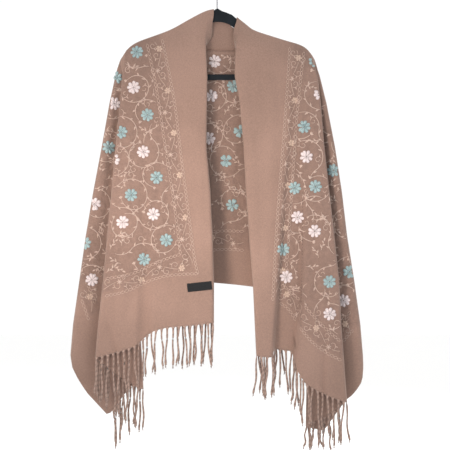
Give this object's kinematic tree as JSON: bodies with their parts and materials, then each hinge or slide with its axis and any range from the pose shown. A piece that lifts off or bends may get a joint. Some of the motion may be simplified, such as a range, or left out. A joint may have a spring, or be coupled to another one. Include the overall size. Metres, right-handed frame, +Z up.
{
  "type": "draped fringed poncho on clothes hanger",
  "caption": "Fringed embroidered shawl draped as an open-front poncho over a slim clothes hanger with a wire hook, one rigid body hung from the hook",
  "frame": {"origin": "Where a rail touches the inside of the wire hook, above the hanger's neck", "axes": "+Z up, the garment's opening faces -Y, +X to the right as seen from the front"},
  "size_m": [0.6637, 0.0858, 1.0837],
  "materials": {
    "wool": "soft brushed wool",
    "fringe": "twisted wool",
    "label": "woven satin",
    "hanger": "flocked matt",
    "hook": "drawn wire"
  },
  "bodies": {
    "root": {"shawl_left": "wool", "shawl_right": "wool", "shawl_back": "wool", "fringe_left": "fringe", "fringe_right": "fringe", "woven_label": "label", "hanger_body": "hanger", "hanger_hook": "hook"}
  },
  "joints": []
}
